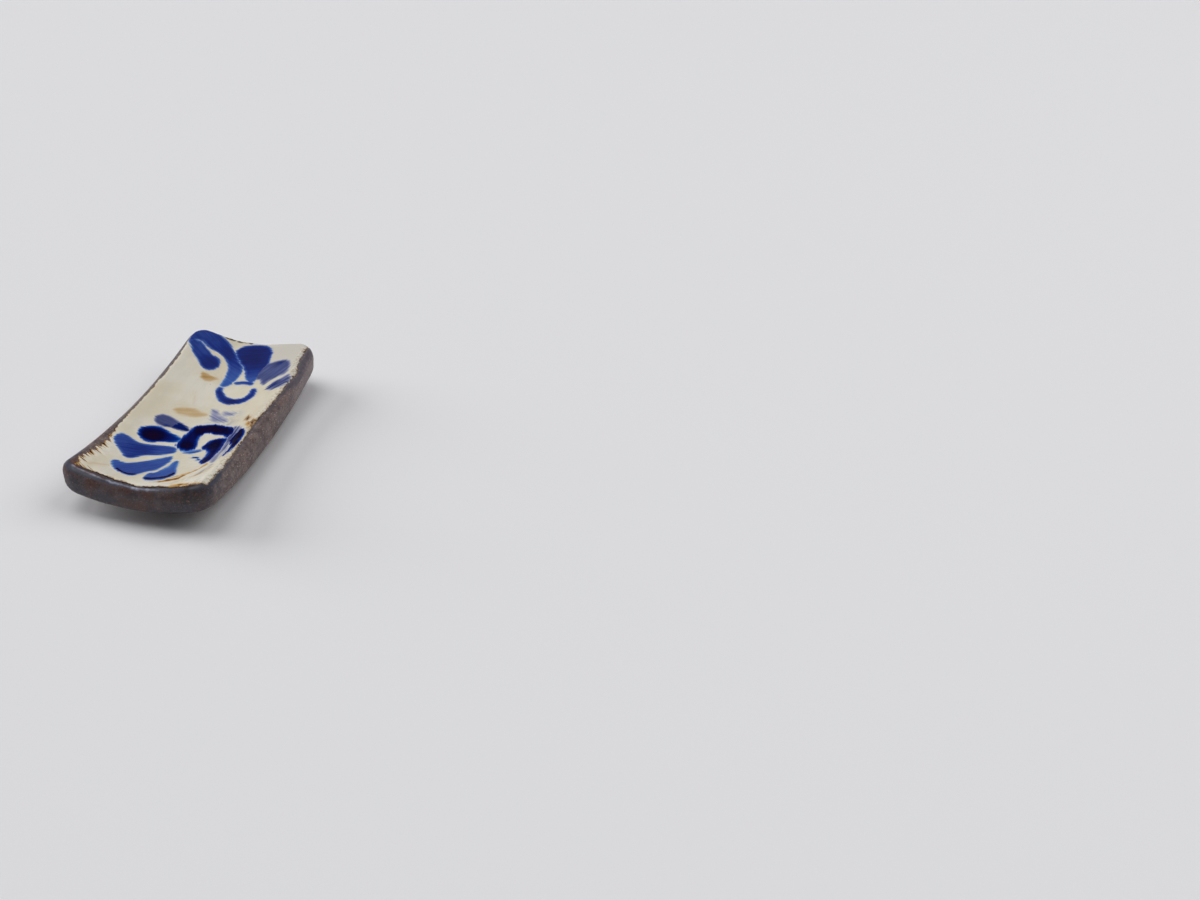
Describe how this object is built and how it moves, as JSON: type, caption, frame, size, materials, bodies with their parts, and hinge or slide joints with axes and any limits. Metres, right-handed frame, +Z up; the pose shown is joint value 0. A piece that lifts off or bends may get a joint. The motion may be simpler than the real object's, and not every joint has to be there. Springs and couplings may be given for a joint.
{
  "type": "chopstick rest",
  "caption": "Slab-built stoneware chopstick rest: a dished, gently saddle-curved rectangle with a bare clay rim, white glaze field and cobalt brushwork.",
  "frame": {"origin": "middle of the underside's box, on the plane of the rubbed-flat foot", "axes": "+X along the length to the narrower end, +Z up, the thin way"},
  "size_m": [0.0542, 0.028, 0.0094],
  "materials": {
    "bare_clay": "matt fired stoneware with fine dark and light grit, darker at the rim",
    "white_glaze": "glossy warm white glaze, thinner and browner at its border",
    "cobalt_deep": "glossy, near black where the brush was loaded",
    "cobalt_mid": "glossy cobalt blue with a lighter edge",
    "cobalt_pale": "glossy diluted cobalt with brush streaks",
    "iron_brown": "glossy thin iron-brown wash"
  },
  "bodies": {
    "root": {"clay_body": "bare_clay", "white_glaze": "white_glaze", "fan_petal_1": "cobalt_pale", "fan_petal_2": "cobalt_deep", "fan_petal_3": "cobalt_mid", "fan_petal_4": "cobalt_mid", "fan_petal_5": "cobalt_mid", "curl_arch": "cobalt_deep", "curl_heart": "cobalt_deep", "curl_tail": "cobalt_deep", "curl_wash": "cobalt_pale", "curl_feather": "cobalt_pale", "leaf_inner": "cobalt_mid", "leaf_outer": "cobalt_mid", "heart_petal": "cobalt_deep", "right_petal": "cobalt_pale", "streaked_petal": "cobalt_pale", "stem_line": "cobalt_mid", "scroll_stem": "cobalt_mid", "middle_feather": "cobalt_pale", "iron_dab": "iron_brown", "iron_spot": "iron_brown", "iron_wash": "iron_brown"}
  },
  "joints": []
}
